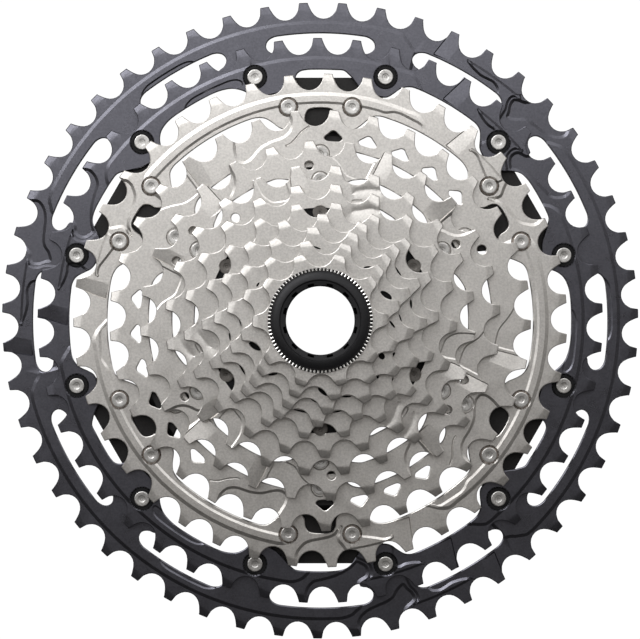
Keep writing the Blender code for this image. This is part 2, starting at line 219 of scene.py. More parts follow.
class Relief:
    """A raised or sunk area: an outline, and the foot or top of the slope inside it."""

    def __init__(self, outline, height, slope_width, smooth=True):
        outline = np.asarray(outline, float)
        self.outer = counterclockwise(smooth_loop(outline) if smooth else outline)
        self.inner = inset(self.outer, slope_width)
        self.height = height
        self.lines = [(self.outer, True), (self.inner, True)]

    def over(self, points):
        share = np.zeros(len(points))
        within = inside(points, self.outer)
        near = points[within]
        out = distance_to(near, self.outer)
        into = np.where(inside(near, self.inner), 0.0, distance_to(near, self.inner))
        share[within] = out / np.maximum(out + into, 1e-9)
        return self.height * share


class Facet:
    """A flat strip that tilts down from one straight side to the other, where a step ends it.

    high and low are each a pair of plan points, from the inner end to the outer one.
    """

    STEP = 0.3
    FOOT = 0.5

    def __init__(self, high, low, depth):
        self.high = np.asarray(high, float)
        self.low = np.asarray(low, float)
        self.end = np.array([self.high[0], self.low[0]])
        self.middle = (self.high.mean(axis=0) + self.low.mean(axis=0)) / 2
        self.depth = depth
        across = self.high.mean(axis=0) - self.low.mean(axis=0)
        across /= np.linalg.norm(across)
        outwards = self.low[1] - self.low[0]
        outwards /= np.linalg.norm(outwards)
        floor_edge = self.low + across * self.STEP
        foot_edge = self.end + outwards * self.FOOT
        self.lines = [(line, False) for line in (self.high, self.low, floor_edge, self.end, foot_edge)]

    def beyond(self, points, line):
        """How far plan points are from a line, on the strip's own side of it."""
        step = line[1] - line[0]
        normal = np.array([-step[1], step[0]]) / np.linalg.norm(step)
        if (self.middle - line[0]) @ normal < 0:
            normal = -normal
        return (points - line[0]) @ normal

    def over(self, points):
        from_high, from_low, from_end = (
            self.beyond(points, line) for line in (self.high, self.low, self.end)
        )
        within = (from_high > 0) & (from_low > 0) & (from_end > 0)
        length = np.linalg.norm(self.high[1] - self.high[0]) + self.FOOT
        within &= np.linalg.norm(points - self.middle, axis=1) < length
        tilt = from_high / np.maximum(from_high + np.maximum(from_low - self.STEP, 0), 1e-9)
        step = np.clip(from_low / self.STEP, 0, 1)
        rise = np.clip(from_end / self.FOOT, 0, 1)
        return np.where(within, -self.depth * tilt * step * rise, 0.0)


class TipBevels:
    """The slanted facets at the tips of a sprocket's teeth, where the chain is let on."""

    REACH = 3.0
    OVERSHOOT = 0.2

    def __init__(self, teeth, left, right, slope, plain=()):
        self.teeth = teeth
        self.slope = slope
        self.plain = list(plain)
        tip = pitch_radius(teeth) + TIP_RISE[teeth]
        self.left = (-self.REACH, tip - left + (right - left) * self.OVERSHOOT)
        self.right = (self.REACH, tip - right - (right - left) * self.OVERSHOOT)
        self.lines = [
            (from_tooth_frame([self.left, self.right], spoke(teeth, tooth)), False)
            for tooth in range(teeth)
            if tooth not in self.plain
        ]

    def over(self, points):
        pitch = 360 / self.teeth
        clock = np.degrees(np.arctan2(points[:, 0], points[:, 1]))
        tooth = np.round((clock - FIRST_TIP[self.teeth]) / pitch)
        sideways, outwards = in_tooth_frame(points, FIRST_TIP[self.teeth] + tooth * pitch)
        (x1, y1), (x2, y2) = self.left, self.right
        tilt = (y2 - y1) / (x2 - x1)
        beyond = (outwards - y1 - tilt * (sideways - x1)) / math.hypot(1, tilt)
        drop = np.maximum(beyond, 0) * self.slope
        return -drop * ~np.isin(tooth.astype(int) % self.teeth, self.plain)


def cone(bottom_radius, top_radius, height, centre=(0.0, 0.0), sides=32):
    """A round recess or boss with a sloping wall, about a centre."""
    return Relief(circle(bottom_radius, sides, centre), height, bottom_radius - top_radius, False)


# --- Plates -------------------------------------------------------------------------------------


def plate(name, outline, holes, low, high, reliefs=(), under=(), marks=(), edge=EDGE_ROUND, drop=EDGE_DROP):
    """A closed plate over a plan, with relief on its face, and with its edges broken.

    marks lists (material number, loop): the face inside the loop takes that material.
    """
    loops = [counterclockwise(np.asarray(loop, float)) for loop in [outline, *holes]]
    lines = [(inset(loops[0], edge), True)]
    lines += [(inset(loop, edge, outward=True), True) for loop in loops[1:]]
    lines += [pair for relief in (*reliefs, *under) for pair in relief.lines]
    points, edges = [], []

    def add(line):
        start = sum(len(part) for part in points)
        points.append(line)
        return list(range(start, start + len(line)))

    faces = [add(loop) for loop in loops]
    for line, closed in lines:
        row = add(line)
        edges.extend(zip(row, row[1:]))
        if closed:
            edges.append((row[-1], row[0]))
    flat = [Vector(point) for point in np.concatenate(points).tolist()]
    plan, _, triangles, _, _, owners = delaunay_2d_cdt(flat, edges, faces, 1, SAME_POINT)
    triangles = np.array([tri for tri, owner in zip(triangles, owners) if list(owner) == [0]])
    used, triangles = np.unique(triangles, return_inverse=True)
    triangles = triangles.reshape(-1, 3)
    plan = np.array([tuple(point) for point in plan])[used]

    away = np.min([distance_to(plan, loop) for loop in loops], axis=0)
    broken = drop * (1 - np.clip(away / edge, 0, 1))
    top = high - broken
    for relief in reliefs:
        top = top + relief.over(plan)
    bottom = low + broken
    for relief in under:
        bottom = bottom + relief.over(plan)
    top = np.maximum(top, bottom + THINNEST)

    count = len(plan)
    corners = np.concatenate([np.column_stack([plan, top]), np.column_stack([plan, bottom])])
    sides = np.concatenate([triangles[:, [0, 1]], triangles[:, [1, 2]], triangles[:, [2, 0]]])
    keys = {tuple(side) for side in sides.tolist()}
    rim = sorted(side for side in keys if side[::-1] not in keys)
    polygons = triangles.tolist() + (triangles[:, ::-1] + count).tolist()
    polygons += [[b, a, a + count, b + count] for a, b in rim]
    data = bpy.data.meshes.new(name)
    data.from_pydata((corners * MM).tolist(), [], polygons)
    numbers = np.zeros(len(polygons), np.int32)
    middles = plan[triangles].mean(axis=1)
    for number, loop in marks:
        numbers[: len(triangles)][inside(middles, loop)] = number
    data.polygons.foreach_set("material_index", numbers)
    return data


def add_object(name, data):
    thing = bpy.data.objects.new(name, data)
    bpy.context.scene.collection.objects.link(thing)
    return thing


def show(name, data, material, body=STACK, replaces=(), sharp=14):
    """Puts a finished mesh into the scene, riding on a body of the CAD model."""
    # Clearing also sets every face back to the first material, so a plate's marks must not go through it.
    if len(data.materials):
        data.materials.clear()
    for one in material if isinstance(material, tuple) else (material,):
        data.materials.append(one)
    data.shade_smooth()
    data.set_sharp_from_angle(angle=math.radians(sharp))
    piece = add_object(name, data)
    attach(piece, body)
    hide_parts(*replaces)


# --- Materials ----------------------------------------------------------------------------------


def fill(tree, node, inputs):
    """Sets a node's inputs. Each takes a plain value, or a link from another node's output."""
    for socket, value in inputs.items():
        if isinstance(value, bpy.types.NodeSocket):
            tree.links.new(value, node.inputs[socket])
        else:
            node.inputs[socket].default_value = value


def wired(tree, kind, inputs=None, give=0, **settings):
    """Adds a node, sets it up, and gives back one of its outputs."""
    node = tree.nodes.new(kind)
    for setting, value in settings.items():
        setattr(node, setting, value)
    fill(tree, node, inputs or {})
    return node.outputs[give]


def sums(tree, operation, *values):
    """The result of a Math node."""
    return wired(tree, "ShaderNodeMath", dict(enumerate(values)), operation=operation)


def new_material(name):
    material = bpy.data.materials.new(name)
    material.use_nodes = True
    tree = material.node_tree
    return material, tree, tree.nodes["Principled BSDF"]


def grain(tree, scale, detail):
    """Noise over the object's own coordinates."""
    where = wired(tree, "ShaderNodeTexCoord", give="Object")
    inputs = {"Vector": where, "Scale": scale, "Detail": detail, "Roughness": 0.6}
    return wired(tree, "ShaderNodeTexNoise", inputs, "Fac")


def spread(tree, value, low, high):
    """The middle of a noise, stretched to run between two values."""
    inputs = {"Value": value, "From Min": 0.3, "From Max": 0.7, "To Min": low, "To Max": high}
    return wired(tree, "ShaderNodeMapRange", inputs, "Result")


CLOUD_SCALE = 35.0
CLOUDS = 0.05
SPECKLE = 0.10
GLOSS_SCALE = 220.0
GLOSS = 0.04
GRIT = 0.4
GRIT_SCALE = 1900.0
GRIT_HEIGHT = 0.00004


def metal(name, colour, roughness, metallic=1.0, specular=0.5):
    """A metal surface with cloudy tone, fine speckles, uneven gloss and a blasted grain."""
    material, tree, shader = new_material(name)
    clouds = spread(tree, grain(tree, CLOUD_SCALE, 3.0), -CLOUDS, CLOUDS)
    specks = spread(tree, grain(tree, GRIT_SCALE * 0.8, 1.0), 1 - SPECKLE, 1 + SPECKLE)
    both = sums(tree, "ADD", clouds, specks)
    tone = wired(tree, "ShaderNodeVectorMath", {0: colour, "Scale": both}, "Vector", operation="SCALE")
    gloss = spread(tree, grain(tree, GLOSS_SCALE, 4.0), roughness - GLOSS, roughness + GLOSS)
    blasted = {"Strength": GRIT, "Distance": GRIT_HEIGHT, "Height": grain(tree, GRIT_SCALE, 2.0)}
    fill(tree, shader, {
        "Base Color": tone, "Roughness": gloss, "Metallic": metallic, "Specular IOR Level": specular,
        "Normal": wired(tree, "ShaderNodeBump", blasted, "Normal"),
    })
    return material


def turned_metal(name, colour, roughness, metallic=1.0, ring_pitch=0.22):
    """Metal with the fine rings that a lathe leaves round the axis."""
    material = metal(name, colour, roughness, metallic)
    tree = material.node_tree
    bump = next(node for node in tree.nodes if node.type == "BUMP")
    inputs = {
        "Vector": wired(tree, "ShaderNodeTexCoord", give="Object"),
        "Scale": 0.5 / (ring_pitch * MM) / math.pi,
        "Distortion": 0.6,
    }
    rings = wired(
        tree, "ShaderNodeTexWave", inputs, "Fac", wave_type="RINGS", rings_direction="Z"
    )
    blasted = bump.inputs["Height"].links[0].from_socket
    fill(tree, bump, {"Height": sums(tree, "MULTIPLY_ADD", rings, 0.35, blasted)})
    return material


anodised = metal("dark_anodised_aluminium", (0.118, 0.118, 0.137), 0.30)
steel = metal("satin_nickel_steel", (0.665, 0.645, 0.620), 0.36)
# Near-black painted shade, for the sunk seats, slots, pockets and notches and the gaps between the washer's
# ribs.
painted_shade_black = metal("painted_shade_black_recess", (0.010, 0.010, 0.011), 0.5, metallic=0.2, specular=0.2)
# Brown painted shade, for the sunk seats round the 39-tooth sprocket's rivets.
painted_shade_brown = metal("painted_shade_brown_recess", (0.26, 0.225, 0.20), 0.5)
# A darker rivet steel, as painted shade, for the rivets down in the 21-tooth sprocket's slots.
painted_shade_rivet = metal("painted_shade_rivet_steel", (0.16, 0.15, 0.14), 0.45)
black = metal("black_anodised_aluminium", (0.030, 0.029, 0.029), 0.45, metallic=0.8, specular=0.3)
lockring_black = turned_metal("lockring_black", (0.022, 0.022, 0.024), 0.42, metallic=0.6)
washer_steel = metal("washer_steel", (0.86, 0.85, 0.83), 0.22)
rivet_steel = turned_metal("rivet_steel", (0.58, 0.57, 0.555), 0.34, ring_pitch=0.5)


# --- Sprockets ----------------------------------------------------------------------------------

SIXTHS = tuple(60 * arm for arm in range(6))
QUARTERS = (0.0, 90.0, 180.0, 270.0)
THIRDS = (0.0, 120.0, 240.0)
PLATE = 1.8
STEP = 3.65
# How far the toothed part lies below the raised band inside it.
TOOTH_LOW = {51: 0.42, 45: 0.42, 39: 0.36}
RIVETS = {
    "45t": (82.5, [15 + 30 * twelfth for twelfth in range(12)]),
    "39t": (70.3, [arm + side for arm in SIXTHS for side in (-8.5, 8.5)]),
    "33t": (54.0, SIXTHS),
    "28t": (45.25, SIXTHS),
    "21t": (34.5, SIXTHS),
}
RIVET_GROUP = {51: "45t", 45: "45t", 39: "39t", 33: "33t", 28: "28t", 24: "21t", 21: "21t"}
RIVET_HOLE = 2.25
# The (height, slope width) that the sunk areas of several rings share.
BLOB = (-0.45, 1.0)
POCKET = (-0.28, 0.55)
SMALL_BLOB = (-0.4, 0.9)
CURVE = (-0.18, 0.5)


def rivet_centres(group):
    radius, clocks = RIVETS[group]
    return [at(radius, clock) for clock in clocks]


def sweep(radius, start, end, stride=2.0):
    """(clock, radius) pairs along an arc, from one clock angle to another."""
    count = max(2, int(abs(end - start) / stride) + 1)
    return [(clock, radius) for clock in np.linspace(start, end, count)]


def repeated(pairs, turns):
    """Pairs of (clock, radius), repeated round the axis."""
    return [(clock + turn, radius) for turn in turns for clock, radius in pairs]


def raised(turns, *rows):
    """Raised or sunk areas from (outline, height, slope width) rows, each repeated at the turns."""
    return [Relief(spots(pairs, turn), height, width) for pairs, height, width in rows for turn in turns]


def groove(pairs, turn, width, depth):
    """A narrow groove along a line of (clock, radius) pairs."""
    line = smooth_loop(spots(pairs, turn), 0.9, closed=False)
    along = np.gradient(line, axis=0)
    along /= np.linalg.norm(along, axis=1, keepdims=True)
    across = np.stack([-along[:, 1], along[:, 0]], axis=-1) * width / 2
    loop = np.concatenate([line + across, (line - across)[::-1]])
    return Relief(loop, -depth, width * 0.45, smooth=False)


def facets(high, low, turns, depth):
    return [Facet(spots(high, turn), spots(low, turn), depth) for turn in turns]


def lobes_51():
    """The windows' edge of the 51-tooth sprocket. Its twelve lugs differ a little in width."""
    widths = ((-3.7, 4.4), (-4.8, 4.0), (-4.5, 5.2), (-4.8, 3.8))
    pairs = []
    for lug in range(12):
        middle = 15 + 30 * lug
        left, right = widths[lug % 4]
        shoulder = 0.2 if lug % 4 == 2 else 2.4
        # A lug's side, from the window's rim to its neck, by how far out each point leans.
        rim = ((3.4, 94.55), (2.0, 94.5), (0.9, 93.9), (0.25, 92.9), (0.0, 91.4))
        neck = ((shoulder / 2, 89.1), (shoulder, 88.5), (shoulder, 86.0))
        pairs += [(middle + left - out, radius) for out, radius in (*rim, (0.3, 90.2), *neck)]
        pairs += [
            (middle - 2.9, 80.5), (middle - 1.6, 78.4), (middle + 1.6, 78.4), (middle + 2.9, 80.5),
            *[(middle + right + out, radius) for out, radius in (*neck[::-1], (0.3, 90.2), *rim[::-1])],
        ]
        end = middle + 30 + widths[(lug + 1) % 4][0] - 3.4
        pairs += sweep(94.55, middle + right + 3.4, end)[1:-1]
    return smooth_loop(spots(pairs), 1.0)


def lobes_45():
    third = [
        (5.4, 82.2), (6.5, 81.2), (7.5, 80.1), (8.3, 79.0), (9.6, 77.4), (12.0, 76.1), (15.0, 75.8),
        (16.6, 76.2), (17.9, 78.0), (19.0, 80.1), (20.0, 81.2), (21.5, 82.05), *sweep(82.2, 23.5, 36.5),
        (38.5, 82.1), (40.0, 81.25), (41.3, 79.25), (42.6, 77.0), (44.5, 75.8), (48.5, 75.8),
        (50.4, 76.75), (51.5, 78.5), (52.7, 80.4), (53.8, 81.5), (55.4, 82.05),
        *sweep(82.2, 57.0, 64.0), (65.8, 82.0), (66.9, 81.0), (68.6, 79.0), (70.6, 77.0), (73.0, 75.9),
        (76.2, 75.9), (77.5, 77.2), (78.5, 79.2), (80.0, 80.95), (82.3, 81.95),
        *sweep(82.2, 84.5, 94.5), (96.9, 81.95), (99.2, 81.2), (100.8, 79.95), (101.9, 78.7),
        (103.2, 76.6), (105.0, 75.8), (108.5, 75.7), (111.6, 76.0), (113.2, 77.0), (114.0, 79.0),
        (114.4, 80.6), (115.3, 81.8), *sweep(82.2, 117.0, 123.4),
    ]
    return smooth_loop(spots(repeated(third, THIRDS)), 1.0)


def lobes_39():
    sixth = [
        (-17.7, 69.2), (-15.4, 68.3), (-13.6, 66.3), (-12.2, 64.4), (-10.5, 63.2), (-8.0, 62.8),
        (-5.6, 63.3), (-4.5, 64.9), (-4.2, 67.0), (-3.2, 68.8), (0.0, 69.3), (3.2, 68.8), (4.2, 67.0),
        (4.5, 64.9), (5.6, 63.3), (8.0, 62.8), (10.0, 63.1), (11.6, 64.6), (13.1, 66.75), (14.6, 68.6),
        (16.4, 69.3), *sweep(69.35, 18.5, 40.3),
    ]
    return smooth_loop(spots(repeated(sixth, SIXTHS)), 1.0)


PADS = {
    33: (
        55.6,
        ((0.0, 55.6), (3.0, 54.2), (5.0, 51.6), (6.5, 49.6)),
        ((45.5, 75.5), (85.5, 134.5), (166.5, 192.0), (226.5, 255.5), (283.0, 314.5), (328.5, 371.5)),
    ),
    28: (
        47.7,
        ((0.0, 47.7), (3.5, 46.8), (6.5, 45.5), (9.5, 41.4)),
        ((44.0, 77.0), (94.0, 137.5), (163.5, 198.0), (224.0, 258.0), (274.0, 317.5), (342.5, 378.0)),
    ),
}


def padded_edge(teeth):
    edge, side, pads = PADS[teeth]
    slope, floor = side[-1]
    pairs = []
    for place, (start, end) in enumerate(pads):
        pairs += [(start + turn, radius) for turn, radius in side]
        pairs += sweep(floor, start + slope, end - slope)[1:-1]
        pairs += [(end - turn, radius) for turn, radius in reversed(side)]
        following = pads[(place + 1) % len(pads)][0]
        pairs += sweep(edge, end, end + (following - end) % 360)[1:-1]
    return smooth_loop(spots(pairs), 0.9)


def bayed_edge():
    pairs = []
    bays = (32.0, 152.0, 272.5)
    for place, middle in enumerate(bays):
        pairs += [
            (middle - 7.0, 38.3), (middle - 5.8, 39.7), (middle - 4.4, 40.25), (middle, 40.3),
            (middle + 4.4, 40.25), (middle + 5.8, 39.7), (middle + 7.0, 38.3),
        ]
        following = bays[(place + 1) % 3]
        pairs += sweep(38.2, middle + 9, middle + 9 + (following - middle) % 360 - 18, 3.0)
    return smooth_loop(spots(pairs), 0.9)


WINDOW_TEETH = (0, 1, 2, 3, 4, 13, 14, 15, 16, 20, 21, 22, 23, 24, 25)
WINDOW = (
    (-2.9, 59.3), (-1.6, 60.6), (-0.6, 61.45), (0.0, 61.6), (0.6, 61.45), (1.6, 60.6), (2.9, 59.3),
    (2.8, 58.8), (2.2, 58.3), (1.2, 58.15), (-1.2, 58.15), (-2.2, 58.3), (-2.8, 58.8),
)
ROUND_HOLES = {
    33: (57.1, 1.5, (66.3,)),
    28: (50.1, 1.4, (60.6, 112.4, 125.1, 175.9, 240.6, 292.4, 305.1, 355.9)),
    24: (42.7, 1.4, (320.5,)),
}


def small_holes(teeth):
    holes = []
    if teeth == 33:
        for tooth in WINDOW_TEETH:
            holes.append(smooth_loop(from_tooth_frame(WINDOW, spoke(teeth, tooth)), 0.5))
    if teeth in ROUND_HOLES:
        radius, hole, clocks = ROUND_HOLES[teeth]
        holes.extend(circle(hole, 24, at(radius, clock)) for clock in clocks)
    return holes


def rivet_seats(group, radius, depth, slope):
    return [cone(radius, radius - slope, -depth, centre) for centre in rivet_centres(group)]


def relief_51():
    band = [
        (-68.3, 95.3), (-67.1, 96.85), (-66.2, 97.9), (-64.2, 98.65), *sweep(98.65, -62, 13.0),
        (14.9, 98.6), (16.2, 98.2), (17.1, 97.2), (18.1, 96.1), (18.8, 95.0), (19.9, 94.0),
        (19.9, 92.0), *sweep(76.0, 20, -68, 4.0), (-68.4, 92.0),
    ]
    ridge = [
        (28.65, 98.7), (29.4, 98.0), (30.8, 96.85), (32.3, 96.2), (33.5, 96.0), (34.8, 96.3),
        (36.0, 96.5), (36.7, 96.15), (37.3, 95.7), (37.9, 93.5), (39.0, 76.0), (41.6, 76.0),
        (41.5, 92.4), (41.0, 94.0), (40.7, 95.5), (40.8, 96.85), (41.5, 97.8), (42.7, 98.6),
        *sweep(98.7, 41.0, 30.4),
    ]
    blob = [
        (43.1, 98.9), (41.8, 97.9), (41.05, 96.85), (40.95, 95.5), (41.2, 94.0), (41.8, 92.4),
        (42.4, 90.5), (44.2, 91.6), (45.4, 93.6), (46.7, 94.5), (48.5, 95.1), (50.4, 95.9),
        (51.5, 96.8), (52.5, 98.2), (53.1, 99.9), (53.2, 101.3), (52.8, 103.2), (52.3, 107.0),
        (48.0, 107.0), (44.5, 107.0), (43.9, 103.0), (43.7, 100.5),
    ]
    pocket = [
        (81.5, 94.7), (82.3, 95.5), (83.3, 96.05), *sweep(96.15, 84.5, 91.4), (92.4, 96.0),
        (93.3, 95.6), (94.0, 94.85), (94.2, 93.4), *sweep(92.8, 93, 82.5), (81.3, 93.4),
    ]
    rise = TOOTH_LOW[51]
    found = raised(THIRDS, (band, rise, 1.1), (ridge, rise, 0.85), (blob, *BLOB), (pocket, *POCKET))
    found += facets([(26.15, 95.0), (27.4, 105.0)], [(22.9, 95.0), (24.4, 105.0)], THIRDS, 0.5)
    found.append(TipBevels(51, 2.05, 3.15, 0.22, repeated_teeth(51, (2, 3, 4, 5, 6))))
    return found


def repeated_teeth(teeth, numbers, parts=3):
    """Teeth counted clockwise from the first, and again in each further part of the turn."""
    return [(number + part * teeth // parts) % teeth for part in range(parts) for number in numbers]


def relief_45():
    band = [
        (-57.9, 82.0), (-57.5, 83.0), (-56.5, 84.7), (-55.0, 86.0), (-53.5, 86.55),
        *sweep(86.55, -51, 18.0), (19.7, 86.6), (21.0, 86.3), (22.1, 85.25), (23.1, 84.0), (24.2, 82.6),
        (24.3, 80.0), *sweep(72.0, 24, -57, 4.0), (-58.0, 79.0),
    ]
    ridge = [
        (36.3, 86.5), (36.9, 85.75), (38.1, 84.75), (39.6, 84.1), (41.0, 83.9), (42.3, 84.1),
        (43.0, 82.0), (42.0, 78.0), (43.5, 74.0), (48.0, 74.0), (51.6, 77.8), (51.1, 79.0),
        (50.0, 80.0), (49.0, 81.25), (48.6, 82.75), (48.65, 84.25), (49.2, 85.5), (50.6, 86.4),
        *sweep(86.6, 49.0, 38.0),
    ]
    blob = [
        (51.3, 86.7), (49.7, 85.6), (49.05, 84.25), (48.95, 82.75), (49.3, 81.35), (50.2, 80.2),
        (51.5, 79.35), (52.9, 80.7), (55.0, 82.2), (56.9, 83.25), (60.0, 84.4), (61.5, 84.95),
        (62.5, 86.2), (63.2, 88.2), (63.4, 90.2), (62.9, 92.2), (62.3, 95.0), (57.0, 95.0),
        (52.8, 95.0), (52.0, 91.0), (51.8, 88.5),
    ]
    pocket = [
        (87.3, 82.4), (88.1, 83.3), (89.2, 83.85), *sweep(84.1, 90.5, 99.0), (100.2, 83.9),
        (101.2, 83.35), (102.0, 82.2), (101.8, 80.9), *sweep(80.6, 100, 89), (87.2, 81.2),
    ]
    rise = TOOTH_LOW[45]
    found = raised(THIRDS, (band, rise, 1.1), (ridge, rise, 0.85), (blob, *BLOB), (pocket, *POCKET))
    found += facets([(32.7, 82.7), (34.0, 93.0)], [(28.8, 82.7), (30.9, 93.0)], THIRDS, 0.5)
    found += rivet_seats("45t", 4.1, 0.55, 0.55)
    found.append(TipBevels(45, 2.05, 3.1, 0.22, repeated_teeth(45, (2, 3, 4, 5, 6))))
    return found


def relief_39():
    band = [
        (-52.9, 71.0), (-52.6, 72.2), (-51.7, 73.5), (-50.0, 74.3), *sweep(74.4, -48, 23.0),
        (24.8, 74.6), (26.2, 74.15), (27.7, 73.0), (28.7, 71.75), (29.8, 70.4), (30.7, 69.2),
        *sweep(60.0, 30, -52, 4.0),
    ]
    ridge = [
        (41.0, 73.2), (41.9, 73.75), (43.5, 73.75), (45.4, 72.75), (48.1, 71.45), (50.0, 71.0),
        (52.4, 73.4), (52.4, 75.2), *sweep(75.3, 50.5, 43.0), (41.2, 74.6),
    ]
    blob = [
        (53.2, 75.4), (53.9, 73.4), (55.0, 71.2), (54.3, 69.0), (53.7, 66.8), (55.4, 68.15),
        (56.5, 69.4), (57.7, 70.0), (60.0, 70.6), (62.3, 71.2), (64.1, 72.2), (65.3, 73.9),
        (66.1, 75.7), (66.2, 77.7), (65.7, 79.6), (65.0, 83.0), (60.0, 83.0), (55.0, 83.0),
        (54.5, 79.0), (53.6, 77.0),
    ]
    rim = [
        *sweep(71.35, -51.0, 17.5), (19.0, 72.2), (20.4, 72.6), (24.0, 72.4), (27.8, 71.9),
        (29.0, 70.4), (29.9, 69.2), *sweep(60.0, 29.5, -51.0, 4.0),
    ]
    rise = TOOTH_LOW[39]
    found = raised(THIRDS, (band, rise, 1.2), (ridge, rise, 0.75), (blob, *BLOB), (rim, -0.22, 0.8))
    found += facets([(39.8, 70.0), (40.5, 81.0)], [(35.5, 70.0), (37.7, 81.0)], THIRDS, 0.5)
    found += rivet_seats("39t", 3.3, 0.45, 0.45)
    found.append(TipBevels(39, 2.0, 2.9, 0.17, repeated_teeth(39, (2, 4, 5, 6))))
    return found


def relief_33():
    found = rivet_seats("33t", 3.2, 0.4, 0.4)
    ramp = [
        (85.2, 63.6), (87.5, 61.8), (89.4, 60.3), (91.0, 58.9), (92.8, 57.7), (95.0, 57.1),
        (98.5, 56.9), (98.5, 56.9), (98.5, 69.5), (92.0, 70.0), (86.0, 70.0), (84.6, 66.0),
    ]
    blob = [
        (114.2, 61.0), (113.9, 59.0), (114.4, 57.2), (116.3, 56.2), (118.5, 56.5), (120.4, 57.4),
        (122.5, 58.6), (126.0, 59.5), (130.0, 60.0), (132.2, 61.1), (133.5, 63.0), (133.9, 65.6),
        (133.0, 69.0), (131.5, 71.0), (124.0, 71.0), (117.5, 71.0), (116.0, 66.0), (114.9, 63.0),
    ]
    restart = [(130.3, 57.6), (131.5, 57.8), (133.8, 59.3), (136.0, 61.5), (138.4, 63.0)]
    for turn in (0.0, 218.4):
        found += raised((turn,), (ramp, *CURVE))
        found += facets([(103.6, 56.0), (104.9, 69.5)], [(99.2, 56.0), (100.3, 69.5)], (turn,), 0.5)
    for turn in (0.0, 76.4, 218.4):
        found += raised((turn,), (blob, *SMALL_BLOB))
        found.append(groove(restart, turn, 0.7, 0.2))
    plain = (9, 10, 11, 17, 18, 19, 29, 30, 31, 32)
    found.append(TipBevels(33, 2.0, 2.9, 0.22, plain))
    return found


def relief_28():
    found = rivet_seats("28t", 3.0, 0.35, 0.4)
    curve = [
        (1.6, 54.5), (3.6, 52.7), (6.2, 51.0), (8.0, 49.1), (9.7, 47.6), (11.4, 47.0), (17.5, 46.9),
        (18.6, 50.0), (18.6, 60.0), (10.0, 61.0), (2.0, 61.0),
    ]
    arc = [
        (52.0, 47.2), (54.2, 48.7), (56.6, 49.9), (58.4, 51.4), (59.5, 53.6), (59.8, 56.0),
        (59.3, 60.5), (55.0, 61.0), (51.4, 60.0), (50.4, 55.0), (50.4, 49.5),
    ]
    found += raised(QUARTERS, (curve, *CURVE), (arc, *SMALL_BLOB))
    found += facets([(25.2, 47.9), (25.2, 59.0)], [(19.4, 47.9), (20.8, 59.0)], QUARTERS, 0.48)
    found += facets([(43.2, 47.9), (44.0, 59.0)], [(50.6, 47.9), (50.0, 59.0)], QUARTERS, 0.48)
    found.append(TipBevels(28, 2.1, 2.9, 0.24, repeated_teeth(28, (0, 1, 3, 4), 4)))
    return found


def relief_24():
    curve = [
        (94.8, 45.0), (95.6, 43.0), (97.0, 41.3), (98.8, 40.3), (101.0, 39.95), (106.0, 40.0),
        (106.3, 45.0), (104.0, 53.0), (96.0, 53.0),
    ]
    ramp = [(14.0, 41.6), (17.0, 42.4), (21.5, 44.2), (25.5, 45.0), (25.5, 46.6), (20.5, 45.8), (14.5, 43.4)]
    foot = [(14.8, 39.0), (19.6, 40.1), (19.4, 40.9), (14.6, 39.8)]
    found = raised(THIRDS, (curve, *CURVE), (ramp, -0.12, 0.5), (foot, -0.12, 0.3))
    found += facets([(112.6, 37.0), (114.4, 51.5)], [(106.4, 37.0), (108.4, 51.5)], THIRDS, 0.5)
    found.append(TipBevels(24, 2.1, 2.8, 0.24, repeated_teeth(24, (6, 7))))
    return found


def slots_21():
    """The sunk slots round the 21-tooth sprocket's rivets."""
    return [spots(sweep(36.0, -9.5, 6.5) + sweep(31.0, 6.5, -9.5), turn) for turn in SIXTHS]


def relief_21():
    ramp = [
        (16.0, 35.6), (19.0, 36.1), (22.0, 37.3), (25.5, 38.5), (29.0, 38.9), (29.0, 40.3),
        (24.0, 39.9), (20.0, 38.3), (16.0, 37.0),
    ]
    found = raised(THIRDS, (ramp, -0.12, 0.5))
    found += [Relief(slot, -1.1, 0.15, smooth=False) for slot in slots_21()]
    found.append(TipBevels(21, 2.1, 2.7, 0.24))
    return found


def spline_bore():
    """The splined hole that fits the freehub body."""
    crest, valley, splines = 14.15, 15.15, 23
    half = 180 / splines
    pairs = []
    for spline in range(splines):
        middle = 360 * spline / splines
        pairs += [
            (middle - 4.5, valley - 0.1), (middle - 4.1, valley), (middle, valley),
            (middle + 4.1, valley), (middle + 4.5, valley - 0.1), (middle + half - 2.6, crest + 0.1),
            (middle + half - 2.2, crest), (middle + half + 2.2, crest),
            (middle + half + 2.6, crest + 0.1),
        ]
    return spots(pairs)


# Narrow pockets in the faces of three loose sprockets, painted black as the shadow under the next smaller
# sprocket's edge, each as (clock angle, distance from the axis, length, width, slant from the tangent).
SHADOW_POCKETS = {
    18: (
        (58.0, 29.15, 3.9, 0.6, 0.0), (79.5, 29.15, 3.1, 0.95, 7.0), (129.0, 29.4, 1.1, 0.65, -20.0),
        (169.5, 29.35, 3.0, 0.5, 0.0), (192.0, 29.35, 4.8, 0.6, 0.0), (237.5, 29.15, 4.8, 0.65, 0.0),
        (259.5, 29.05, 3.0, 0.7, 0.0),
    ),
    16: (
        (88.5, 25.15, 2.65, 0.8, -15.0), (115.0, 25.4, 1.75, 0.8, 10.0), (134.5, 25.4, 1.25, 0.85, -15.0),
        (161.0, 25.35, 3.1, 0.65, 17.0), (184.5, 25.4, 2.25, 0.45, 23.0), (268.5, 25.05, 2.7, 0.7, -17.0),
    ),
    14: (
        (41.5, 22.3, 2.5, 0.75, -48.0), (69.0, 22.1, 4.3, 1.95, -36.0), (93.0, 22.6, 2.8, 0.7, -40.0),
        (120.0, 22.2, 2.5, 1.9, -65.0), (178.0, 22.3, 3.9, 1.45, 42.0), (221.5, 22.45, 3.0, 0.9, -51.0),
        (248.5, 22.0, 4.4, 1.9, -36.0), (300.0, 22.6, 1.6, 0.6, 3.0), (357.5, 22.85, 2.5, 0.6, 22.0),
    ),
}
POCKET_DEPTH = 1.2


